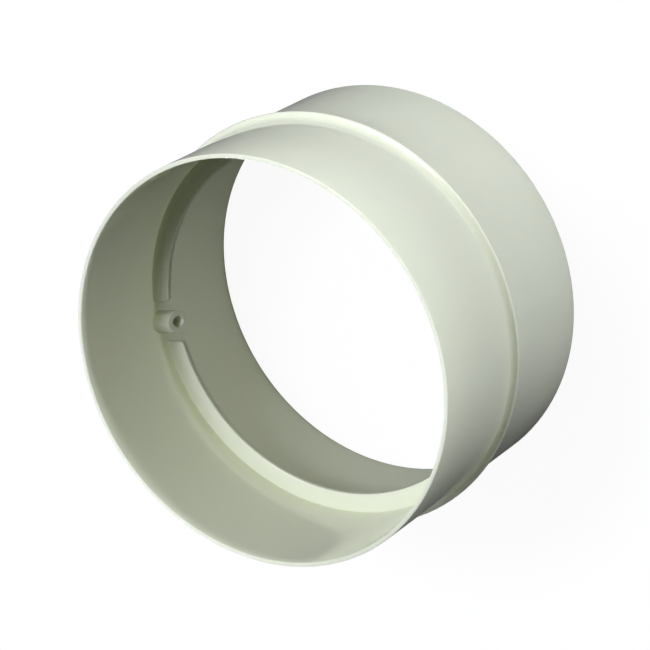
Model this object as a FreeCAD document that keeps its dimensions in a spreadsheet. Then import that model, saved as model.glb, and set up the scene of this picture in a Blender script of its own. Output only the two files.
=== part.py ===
# Round duct connector: one moulded tube with a stop bead outside and a flap seat inside.
# Millimetres. +Z runs along the tube, the far end stands on z = 0, +X runs along the flap's pivot line.
import FreeCAD, Part
import math
import os
import Sketcher
from FreeCAD import Vector

NODE = "connector_body"

doc = FreeCAD.newDocument("duct_connector")

# Driving dimensions
SIZES = (
    ("outer_dia", "99.0", "outside diameter of both spigots"),
    ("wall_thk", "1.0", "tube wall"),
    ("tube_len", "62.0", "end to end"),
    ("edge_round", "0.2", "rounding of the four rim edges"),
    ("bead_pos", "31.0", "bead crest above the far end"),
    ("bead_rise", "1.66", "bead crest above the outside wall"),
    ("bead_round", "0.6", "crest radius of the bead"),
    ("bead_root", "1.5", "hollow radius where the bead runs into the wall"),
    ("rib_proj", "4.6", "seat rib height above the bore"),
    ("rib_thk", "1.5", "seat rib thickness"),
    ("upper_rib_top", "32.35", "near face of the +Y seat rib"),
    ("lower_rib_top", "29.8", "near face of the -Y seat rib"),
    ("rib_corner", "1.2", "rounded inner corners of the ribs"),
    ("rib_edge", "0.3", "rounding of the ribs' free edges"),
    ("slot_half", "5.6", "half of the gap left in the seat at each boss"),
    ("boss_dia", "5.5", "pivot boss"),
    ("boss_pos", "31.0", "boss axis above the far end"),
    ("boss_reach", "5.7", "boss height above the bore, at its axis"),
    ("boss_slope", "20.0", "slope of the boss end in degrees, lower on the near side"),
    ("pivot_dia", "2.8", "blind pivot hole"),
    ("pivot_depth", "4.0", "pivot hole depth, at its axis"),
)
sheet = doc.addObject("Spreadsheet::Sheet", "sizes")
for row, (alias, value, meaning) in enumerate(SIZES, start=1):
    sheet.set(f"A{row}", meaning)
    sheet.set(f"B{row}", value)
    sheet.setAlias(f"B{row}", alias)
doc.recompute()


def size(alias):
    return float(getattr(sheet, alias))


# Starting positions for the sketches; the bound constraints hold them afterwards.
outer_r = size("outer_dia") / 2
bore_r = outer_r - size("wall_thk")
mid_wall_r = outer_r - size("wall_thk") / 2
rib_r = bore_r - size("rib_proj")
length = size("tube_len")
edge = size("edge_round")
bead_z = size("bead_pos")
bead_r = size("bead_round")
bead_centre_r = outer_r + size("bead_rise") - bead_r
hollow_r = size("bead_root")
root_r = outer_r + hollow_r
root_dz = math.sqrt((bead_r + hollow_r) ** 2 - (root_r - bead_centre_r) ** 2)
crest_angle = math.atan2(root_dz, root_r - bead_centre_r)
corner = size("rib_corner")
slot = size("slot_half")
boss_r = size("boss_dia") / 2
boss_z = size("boss_pos")
boss_face_x = size("boss_reach") - bore_r
boss_slope = math.radians(size("boss_slope"))
pivot_r = size("pivot_dia") / 2

# The same sizes as expressions
OUTER_R = "sizes.outer_dia / 2"
BORE_R = "(sizes.outer_dia / 2 - sizes.wall_thk)"
MID_WALL_R = "(sizes.outer_dia / 2 - sizes.wall_thk / 2)"
RIB_R = "(sizes.outer_dia / 2 - sizes.wall_thk - sizes.rib_proj)"
BEAD_CENTRE_R = "sizes.outer_dia / 2 + sizes.bead_rise - sizes.bead_round"
BOSS_FACE_R = "(sizes.outer_dia / 2 - sizes.wall_thk - sizes.boss_reach)"
BOSS_TIP_RISE = "(sizes.boss_dia * tan(sizes.boss_slope * 1 deg))"
BOSS_LOW_R = f"{BOSS_FACE_R} + {BOSS_TIP_RISE}"
BOSS_TIP_R = f"{BOSS_FACE_R} - {BOSS_TIP_RISE}"
SLOPE_CUT_TOP = "sizes.boss_pos + sizes.boss_dia"
SLOPE_CUT_WIDTH = "sizes.slot_half + sizes.boss_dia / 2"

# Sketch references
ORIGIN = (-1, 1)
X_AXIS = -1
Y_AXIS = X_AXIS - 1
START, END, CENTRE = range(1, 4)
Z_NORMAL = Vector(0, 0, 1)

body = doc.addObject("PartDesign::Body", NODE)
body.Label = NODE


def origin_plane(role):
    return next(feature for feature in body.Origin.OriginFeatures if feature.Role == role)


def new_sketch(name, role, offset=None):
    sketch = body.newObject("Sketcher::SketchObject", name)
    sketch.AttachmentSupport = [(origin_plane(role), "")]
    sketch.MapMode = "FlatFace"
    if offset:
        sketch.setExpression("AttachmentOffset.Base.z", offset)
    doc.recompute()
    return sketch


def line(sketch, first, second):
    return sketch.addGeometry(Part.LineSegment(Vector(*first, 0), Vector(*second, 0)))


def arc(sketch, centre, radius, start, end):
    circle = Part.Circle(Vector(*centre, 0), Z_NORMAL, radius)
    return sketch.addGeometry(Part.ArcOfCircle(circle, start, end))


def bind(sketch, kind, *place, value, to):
    index = sketch.addConstraint(Sketcher.Constraint(kind, *place, value))
    sketch.setExpression(f"Constraints[{index}]", to)


def tie(sketch, kind, *place):
    sketch.addConstraint(Sketcher.Constraint(kind, *place))


# Tube with its outside bead, turned about the tube's axis
profile = new_sketch("tube_profile", "XZ_Plane")
quarter = math.pi / 2
half = math.pi
far_face = line(profile, (bore_r + edge, 0), (outer_r - edge, 0))
far_outer = arc(profile, (outer_r - edge, edge), edge, 3 * quarter, 4 * quarter)
far_wall = line(profile, (outer_r, edge), (outer_r, bead_z - root_dz))
far_root = arc(profile, (root_r, bead_z - root_dz), hollow_r, half - crest_angle, half)
crest = arc(profile, (bead_centre_r, bead_z), bead_r, -crest_angle, crest_angle)
near_root = arc(profile, (root_r, bead_z + root_dz), hollow_r, half, half + crest_angle)
near_wall = line(profile, (outer_r, bead_z + root_dz), (outer_r, length - edge))
near_outer = arc(profile, (outer_r - edge, length - edge), edge, 0, quarter)
near_face = line(profile, (outer_r - edge, length), (bore_r + edge, length))
near_inner = arc(profile, (bore_r + edge, length - edge), edge, quarter, half)
bore_wall = line(profile, (bore_r, length - edge), (bore_r, edge))
far_inner = arc(profile, (bore_r + edge, edge), edge, half, 3 * quarter)

JOINS = (
    (far_face, END, far_outer, START),
    (far_outer, END, far_wall, START),
    (far_wall, END, far_root, END),
    (far_root, START, crest, START),
    (crest, END, near_root, END),
    (near_root, START, near_wall, START),
    (near_wall, END, near_outer, START),
    (near_outer, END, near_face, START),
    (near_face, END, near_inner, START),
    (near_inner, END, bore_wall, START),
    (bore_wall, END, far_inner, START),
    (far_inner, END, far_face, START),
)
for join in JOINS:
    tie(profile, "Tangent", *join)
for level in (far_face, near_face):
    tie(profile, "Horizontal", level)
for upright in (far_wall, near_wall, bore_wall):
    tie(profile, "Vertical", upright)
tie(profile, "PointOnObject", far_face, START, X_AXIS)
tie(profile, "PointOnObject", near_wall, START, far_wall)
for rim_edge in (near_outer, near_inner, far_inner):
    tie(profile, "Equal", far_outer, rim_edge)
tie(profile, "Equal", far_root, near_root)
bind(profile, "Radius", far_outer, value=edge, to="sizes.edge_round")
bind(profile, "Radius", crest, value=bead_r, to="sizes.bead_round")
bind(profile, "Radius", far_root, value=hollow_r, to="sizes.bead_root")
bind(profile, "DistanceX", *ORIGIN, far_wall, START, value=outer_r, to=OUTER_R)
bind(profile, "DistanceX", *ORIGIN, bore_wall, START, value=bore_r, to=BORE_R)
bind(profile, "DistanceY", *ORIGIN, near_face, START, value=length, to="sizes.tube_len")
bind(profile, "DistanceX", *ORIGIN, crest, CENTRE, value=bead_centre_r, to=BEAD_CENTRE_R)
bind(profile, "DistanceY", *ORIGIN, crest, CENTRE, value=bead_z, to="sizes.bead_pos")
doc.recompute()

tube = body.newObject("PartDesign::Revolution", "tube")
tube.Profile = profile
tube.ReferenceAxis = (profile, ["V_Axis"])
tube.Angle = 360
doc.recompute()


def seat_rib(name, side, top):
    """Half ring inside the bore: side is +1 towards +Y and -1 towards -Y, top names its near face."""
    sketch = new_sketch(f"{name}_outline", "XY_Plane", f"sizes.{top} - sizes.rib_thk")
    turn = 0 if side > 0 else half
    outer_lag = math.asin(slot / mid_wall_r)
    corner_lag = math.asin((slot + corner) / (rib_r + corner))
    outer_x = math.sqrt(mid_wall_r ** 2 - slot ** 2)
    corner_x = (rib_r + corner) * math.cos(corner_lag)
    back = arc(sketch, (0, 0), mid_wall_r, turn + outer_lag, turn + half - outer_lag)
    front = arc(sketch, (0, 0), rib_r, turn + corner_lag, turn + half - corner_lag)
    first_end = line(sketch, (side * outer_x, side * slot), (side * corner_x, side * slot))
    last_end = line(sketch, (-side * outer_x, side * slot), (-side * corner_x, side * slot))
    first_corner_at = (side * corner_x, side * (slot + corner))
    last_corner_at = (-side * corner_x, side * (slot + corner))
    first_corner = arc(sketch, first_corner_at, corner, turn + half + corner_lag, turn + 3 * quarter)
    last_corner = arc(sketch, last_corner_at, corner, turn + 3 * quarter, turn + 2 * half - corner_lag)
    tie(sketch, "Coincident", back, CENTRE, *ORIGIN)
    tie(sketch, "Coincident", front, CENTRE, *ORIGIN)
    tie(sketch, "Coincident", back, START, first_end, START)
    tie(sketch, "Coincident", back, END, last_end, START)
    tie(sketch, "Tangent", first_end, END, first_corner, END)
    tie(sketch, "Tangent", first_corner, START, front, START)
    tie(sketch, "Tangent", last_end, END, last_corner, START)
    tie(sketch, "Tangent", last_corner, END, front, END)
    tie(sketch, "Horizontal", first_end)
    tie(sketch, "Horizontal", last_end)
    tie(sketch, "Equal", first_corner, last_corner)
    bind(sketch, "Radius", back, value=mid_wall_r, to=MID_WALL_R)
    bind(sketch, "Radius", front, value=rib_r, to=RIB_R)
    bind(sketch, "Radius", first_corner, value=corner, to="sizes.rib_corner")
    for end_line in (first_end, last_end):
        from_low = (*ORIGIN, end_line, START) if side > 0 else (end_line, START, *ORIGIN)
        bind(sketch, "DistanceY", *from_low, value=slot, to="sizes.slot_half")
    doc.recompute()
    rib = body.newObject("PartDesign::Pad", name)
    rib.Profile = sketch
    rib.setExpression("Length", "sizes.rib_thk")
    doc.recompute()
    return rib


upper_rib = seat_rib("upper_rib", 1, "upper_rib_top")
lower_rib = seat_rib("lower_rib", -1, "lower_rib_top")

# The ribs' free edges are rounded: they lie level with a rib's near or far face, clear of the bore's wall.
CLOSE = 1e-4
rib_tops = (size("upper_rib_top"), size("lower_rib_top"))
rib_levels = [top - drop for top in rib_tops for drop in (0, size("rib_thk"))]


def is_free_edge(curve):
    point = curve.valueAt((curve.FirstParameter + curve.LastParameter) / 2)
    level = curve.BoundBox.ZLength < CLOSE and min(abs(point.z - z) for z in rib_levels) < CLOSE
    return level and math.hypot(point.x, point.y) < bore_r - CLOSE


free_edges = [f"Edge{i}" for i, curve in enumerate(lower_rib.Shape.Edges, start=1) if is_free_edge(curve)]
rib_edges = body.newObject("PartDesign::Fillet", "rib_edges")
rib_edges.Base = (lower_rib, free_edges)
rib_edges.setExpression("Radius", "sizes.rib_edge")
doc.recompute()


def round_sketch(name, offset, radius, expression):
    """Circle about the boss axis on a plane square to +X."""
    sketch = new_sketch(name, "YZ_Plane", offset)
    ring = sketch.addGeometry(Part.Circle(Vector(0, boss_z, 0), Z_NORMAL, radius))
    tie(sketch, "PointOnObject", ring, CENTRE, Y_AXIS)
    bind(sketch, "DistanceY", *ORIGIN, ring, CENTRE, value=boss_z, to="sizes.boss_pos")
    bind(sketch, "Radius", ring, value=radius, to=expression)
    doc.recompute()
    return sketch


# Pivot boss on the -X side: a stub from the middle of the wall, its end sloped off, then its hole
boss_outline = round_sketch("boss_outline", f"-{MID_WALL_R}", boss_r, "sizes.boss_dia / 2")
boss = body.newObject("PartDesign::Pad", "boss")
boss.Profile = boss_outline
boss.setExpression("Length", f"{MID_WALL_R} - ({BOSS_TIP_R})")
doc.recompute()

slope_cut = new_sketch("boss_slope_cut", "XZ_Plane")
reach_z = 2 * boss_r
reach_x = reach_z * math.tan(boss_slope)
deep = (boss_face_x - reach_x, boss_z + reach_z)
high = (boss_face_x + reach_x, boss_z - reach_z)
far_corner = (boss_face_x + reach_x, boss_z + reach_z)
slope_line = line(slope_cut, deep, high)
tip_line = line(slope_cut, high, far_corner)
top_line = line(slope_cut, far_corner, deep)
tie(slope_cut, "Coincident", slope_line, END, tip_line, START)
tie(slope_cut, "Coincident", tip_line, END, top_line, START)
tie(slope_cut, "Coincident", top_line, END, slope_line, START)
tie(slope_cut, "Vertical", tip_line)
tie(slope_cut, "Horizontal", top_line)
bind(slope_cut, "DistanceX", slope_line, START, *ORIGIN, value=-deep[0], to=BOSS_LOW_R)
bind(slope_cut, "DistanceX", slope_line, END, *ORIGIN, value=-high[0], to=BOSS_TIP_R)
bind(slope_cut, "DistanceY", *ORIGIN, slope_line, START, value=deep[1], to=SLOPE_CUT_TOP)
bind(slope_cut, "DistanceY", slope_line, END, slope_line, START, value=2 * reach_z, to="2 * sizes.boss_dia")
doc.recompute()

boss_end = body.newObject("PartDesign::Pocket", "boss_end")
boss_end.Profile = slope_cut
boss_end.Midplane = True
boss_end.setExpression("Length", SLOPE_CUT_WIDTH)
doc.recompute()

pivot_outline = round_sketch("pivot_outline", f"-({BOSS_TIP_R})", pivot_r, "sizes.pivot_dia / 2")
pivot = body.newObject("PartDesign::Pocket", "pivot")
pivot.Profile = pivot_outline
pivot.setExpression("Length", f"sizes.pivot_depth + {BOSS_TIP_RISE}")
doc.recompute()

# The same boss on the +X side
mirrored = body.newObject("PartDesign::Mirrored", "boss_pair")
mirrored.Originals = [boss, boss_end, pivot]
mirrored.MirrorPlane = (origin_plane("YZ_Plane"), [""])
body.Tip = mirrored
doc.recompute()

# Each step has to change the solid the way it says
ADDS, CUTS = 1, -1
STEPS = (
    (tube, upper_rib, ADDS),
    (upper_rib, lower_rib, ADDS),
    (lower_rib, rib_edges, CUTS),
    (rib_edges, boss, ADDS),
    (boss, boss_end, CUTS),
    (boss_end, pivot, CUTS),
    (pivot, mirrored, ADDS),
)
for before, after, sign in STEPS:
    if sign * (after.Shape.Volume - before.Shape.Volume) <= 0:
        raise RuntimeError(f"{after.Name} left the solid as it was")
for item in doc.Objects:
    if "Invalid" in item.State or "Error" in item.State:
        raise RuntimeError(f"{item.Name} is not sound: {item.State}")
if body.Shape.isNull() or not body.Shape.isValid() or len(body.Shape.Solids) != 1:
    raise RuntimeError(f"{NODE} is not one valid solid")

os.makedirs("parts", exist_ok=True)
body.Shape.exportStep(f"parts/{NODE}.step")
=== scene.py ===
import math
import bpy
from mathutils import Matrix, Vector


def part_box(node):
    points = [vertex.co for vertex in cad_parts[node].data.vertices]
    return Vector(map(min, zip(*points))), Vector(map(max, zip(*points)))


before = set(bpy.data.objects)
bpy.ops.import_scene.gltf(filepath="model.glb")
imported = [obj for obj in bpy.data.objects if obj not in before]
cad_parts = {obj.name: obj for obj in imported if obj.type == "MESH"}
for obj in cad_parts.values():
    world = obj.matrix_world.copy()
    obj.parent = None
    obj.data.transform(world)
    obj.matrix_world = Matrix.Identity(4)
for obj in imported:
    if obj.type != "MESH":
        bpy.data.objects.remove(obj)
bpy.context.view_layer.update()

scene = bpy.context.scene
scene.view_settings.view_transform = "Standard"

# Sizes from the part's mesh
NODE = "connector_body"
lo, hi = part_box(NODE)
width = hi.x - lo.x
height = hi.z - lo.z
centre = (lo + hi) / 2

# Camera, as the photograph was taken: its place in tube lengths, its directions in the part's frame
CAMERA_AT = Vector((6.02016, 2.94089, 9.41818))
CAMERA_FORWARD = Vector((-0.540071, -0.264578, -0.798951))
CAMERA_UP = Vector((-0.002466, 0.949795, -0.312864))
SENSOR_MM = 36.0
LENS_MM = 162.764

# Floor: half its side in part widths
FLOOR_REACH = 30.0
# Its shade to the eye, and to the light that it throws back at the part
FLOOR_WHITE = 0.9
FLOOR_GREY = 0.12
# The share of plain white in it, seen straight and in reflections; the rest keeps the shadow
STRAIGHT_GLOW = 0.94
REFLECTED_GLOW = 0.02
GLOW_STRENGTH = 1.0

# Lamps: name, azimuth from +X, elevation, width, height, strength and colour, in degrees and metres
COOL = (0.975, 1.0, 1.065)
WARM = (1.0, 1.0, 0.78)
LAMPS = (
    ("key", 128.0, 69.0, 0.60, 0.30, 0.54, COOL),
    ("key_side", 116.0, 69.0, 0.30, 0.30, 0.48, COOL),
    ("side", 36.0, 1.5, 0.50, 0.08, 0.81, COOL),
    ("fill", 66.0, 45.0, 1.00, 1.00, 0.15, WARM),
    ("rear", 219.0, 8.0, 0.50, 0.20, 0.97, COOL),
)
LAMP_DISTANCE = 1.0
# At this power, a surface that faces the lamp shows its own colour
FULL_POWER = math.pi ** 2 * LAMP_DISTANCE ** 2
# Lamps that leave no mirror image of themselves on the bead
UNMIRRORED = ("side", "key_side")

# Weak even light of the room
ROOM_COLOUR = (1.0, 1.0, 1.0, 1.0)
ROOM_STRENGTH = 0.02

# Plastic: a glossy off-white, thin enough to let some light through
PLASTIC_DARK = (0.704, 0.732, 0.590, 1.0)
PLASTIC_LIGHT = (0.729, 0.758, 0.615, 1.0)
PLASTIC_IOR = 1.5
SMOOTHEST = 0.08
ROUGHEST = 0.13
LIGHT_SHARE = 0.5
LIGHT_REACH = 0.004
LIGHT_REACH_RGB = (1.0, 1.0, 0.9)

# Noises in the plastic: scale per metre, detail and roughness
CLOUD = (28.0, 4.0, 0.55)
SMEAR = (75.0, 5.0, 0.6)
WAVE = (45.0, 1.0, 0.4)
SKIN = (2600.0, 2.0, 0.5)
# The part of a noise's range that the cloud and the smear use
NOISE_LOW = 0.3
NOISE_HIGH = 0.7
# Depth of the mould's waviness and of its fine skin
WAVE_HEIGHT = 0.00003
SKIN_HEIGHT = 0.0000012


def add_camera():
    forward = CAMERA_FORWARD.normalized()
    right = forward.cross(CAMERA_UP).normalized()
    up = right.cross(forward)
    turn = Matrix((right, up, -forward)).transposed()
    lens = bpy.data.cameras.new("camera")
    lens.sensor_width = SENSOR_MM
    lens.lens = LENS_MM
    camera = bpy.data.objects.new("camera", lens)
    camera.matrix_world = Matrix.Translation(CAMERA_AT * height) @ turn.to_4x4()
    scene.collection.objects.link(camera)
    scene.camera = camera


def new_material(name):
    material = bpy.data.materials.new(name)
    material.use_nodes = True
    material.node_tree.nodes.clear()
    return material


def show(tree, shader):
    output = tree.nodes.new("ShaderNodeOutputMaterial")
    tree.links.new(shader, output.inputs["Surface"])


def combine(tree, operation, first, second):
    node = tree.nodes.new("ShaderNodeMath")
    node.operation = operation
    for socket, value in zip(node.inputs, (first, second)):
        if isinstance(value, float):
            socket.default_value = value
        else:
            tree.links.new(value, socket)
    return node.outputs["Value"]


def floor_paint():
    material = new_material("floor_paint")
    tree = material.node_tree
    ray = tree.nodes.new("ShaderNodeLightPath")
    straight = combine(tree, "MAXIMUM", ray.outputs["Is Camera Ray"], ray.outputs["Is Transmission Ray"])
    straight_share = combine(tree, "MULTIPLY", straight, STRAIGHT_GLOW)
    reflected_share = combine(tree, "MULTIPLY", ray.outputs["Is Glossy Ray"], REFLECTED_GLOW)
    straight_shade = combine(tree, "MULTIPLY", straight, FLOOR_WHITE)
    matt = tree.nodes.new("ShaderNodeBsdfDiffuse")
    tree.links.new(combine(tree, "MAXIMUM", straight_shade, FLOOR_GREY), matt.inputs["Color"])
    glow = tree.nodes.new("ShaderNodeEmission")
    glow.inputs["Strength"].default_value = GLOW_STRENGTH
    mix = tree.nodes.new("ShaderNodeMixShader")
    tree.links.new(combine(tree, "MAXIMUM", straight_share, reflected_share), mix.inputs["Fac"])
    tree.links.new(matt.outputs["BSDF"], mix.inputs[1])
    tree.links.new(glow.outputs["Emission"], mix.inputs[2])
    show(tree, mix.outputs["Shader"])
    return material


def add_floor():
    reach = FLOOR_REACH * width
    corners = [(-reach, -reach, lo.z), (reach, -reach, lo.z), (reach, reach, lo.z), (-reach, reach, lo.z)]
    mesh = bpy.data.meshes.new("floor")
    mesh.from_pydata(corners, [], [range(len(corners))])
    floor = bpy.data.objects.new("floor", mesh)
    scene.collection.objects.link(floor)
    mesh.materials.append(floor_paint())


def add_lamp(name, azimuth, elevation, wide, tall, strength, colour):
    turned = math.radians(azimuth)
    raised = math.radians(elevation)
    flat = math.cos(raised)
    towards = Vector((flat * math.cos(turned), flat * math.sin(turned), math.sin(raised)))
    box = bpy.data.lights.new(name, "AREA")
    box.shape = "RECTANGLE"
    box.size = wide
    box.size_y = tall
    box.color = colour
    box.energy = strength * FULL_POWER
    lamp = bpy.data.objects.new(name, box)
    lamp.visible_glossy = name not in UNMIRRORED
    place = Matrix.Translation(centre + towards * LAMP_DISTANCE)
    lamp.matrix_world = place @ towards.to_track_quat("Z", "Y").to_matrix().to_4x4()
    scene.collection.objects.link(lamp)


def light_room():
    room = bpy.data.worlds.new("studio")
    room.use_nodes = True
    background = room.node_tree.nodes["Background"]
    background.inputs["Color"].default_value = ROOM_COLOUR
    background.inputs["Strength"].default_value = ROOM_STRENGTH
    scene.world = room


def noise(tree, where, scale, detail, roughness):
    texture = tree.nodes.new("ShaderNodeTexNoise")
    texture.inputs["Scale"].default_value = scale
    texture.inputs["Detail"].default_value = detail
    texture.inputs["Roughness"].default_value = roughness
    tree.links.new(where, texture.inputs["Vector"])
    return texture.outputs["Fac"]


def bump(tree, relief, distance):
    node = tree.nodes.new("ShaderNodeBump")
    node.inputs["Distance"].default_value = distance
    tree.links.new(relief, node.inputs["Height"])
    return node


def moulded_plastic():
    material = new_material("moulded_plastic")
    tree = material.node_tree
    gloss = tree.nodes.new("ShaderNodeBsdfPrincipled")
    gloss.inputs["IOR"].default_value = PLASTIC_IOR
    gloss.inputs["Subsurface Weight"].default_value = LIGHT_SHARE
    gloss.inputs["Subsurface Radius"].default_value = LIGHT_REACH_RGB
    gloss.inputs["Subsurface Scale"].default_value = LIGHT_REACH
    show(tree, gloss.outputs["BSDF"])
    where = tree.nodes.new("ShaderNodeTexCoord").outputs["Object"]

    # Slight cloudiness
    tint = tree.nodes.new("ShaderNodeValToRGB")
    dark, light = tint.color_ramp.elements
    dark.position = NOISE_LOW
    dark.color = PLASTIC_DARK
    light.position = NOISE_HIGH
    light.color = PLASTIC_LIGHT
    tree.links.new(noise(tree, where, *CLOUD), tint.inputs["Fac"])
    tree.links.new(tint.outputs["Color"], gloss.inputs["Base Color"])

    # Uneven gloss
    polish = tree.nodes.new("ShaderNodeMapRange")
    polish.inputs["From Min"].default_value = NOISE_LOW
    polish.inputs["From Max"].default_value = NOISE_HIGH
    polish.inputs["To Min"].default_value = SMOOTHEST
    polish.inputs["To Max"].default_value = ROUGHEST
    tree.links.new(noise(tree, where, *SMEAR), polish.inputs["Value"])
    tree.links.new(polish.outputs["Result"], gloss.inputs["Roughness"])

    # Mould waviness with a fine skin on it
    wave = bump(tree, noise(tree, where, *WAVE), WAVE_HEIGHT)
    skin = bump(tree, noise(tree, where, *SKIN), SKIN_HEIGHT)
    tree.links.new(wave.outputs["Normal"], skin.inputs["Normal"])
    tree.links.new(skin.outputs["Normal"], gloss.inputs["Normal"])
    return material


add_camera()
add_floor()
for lamp_values in LAMPS:
    add_lamp(*lamp_values)
light_room()
plastic = moulded_plastic()
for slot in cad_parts[NODE].material_slots:
    slot.material = plastic
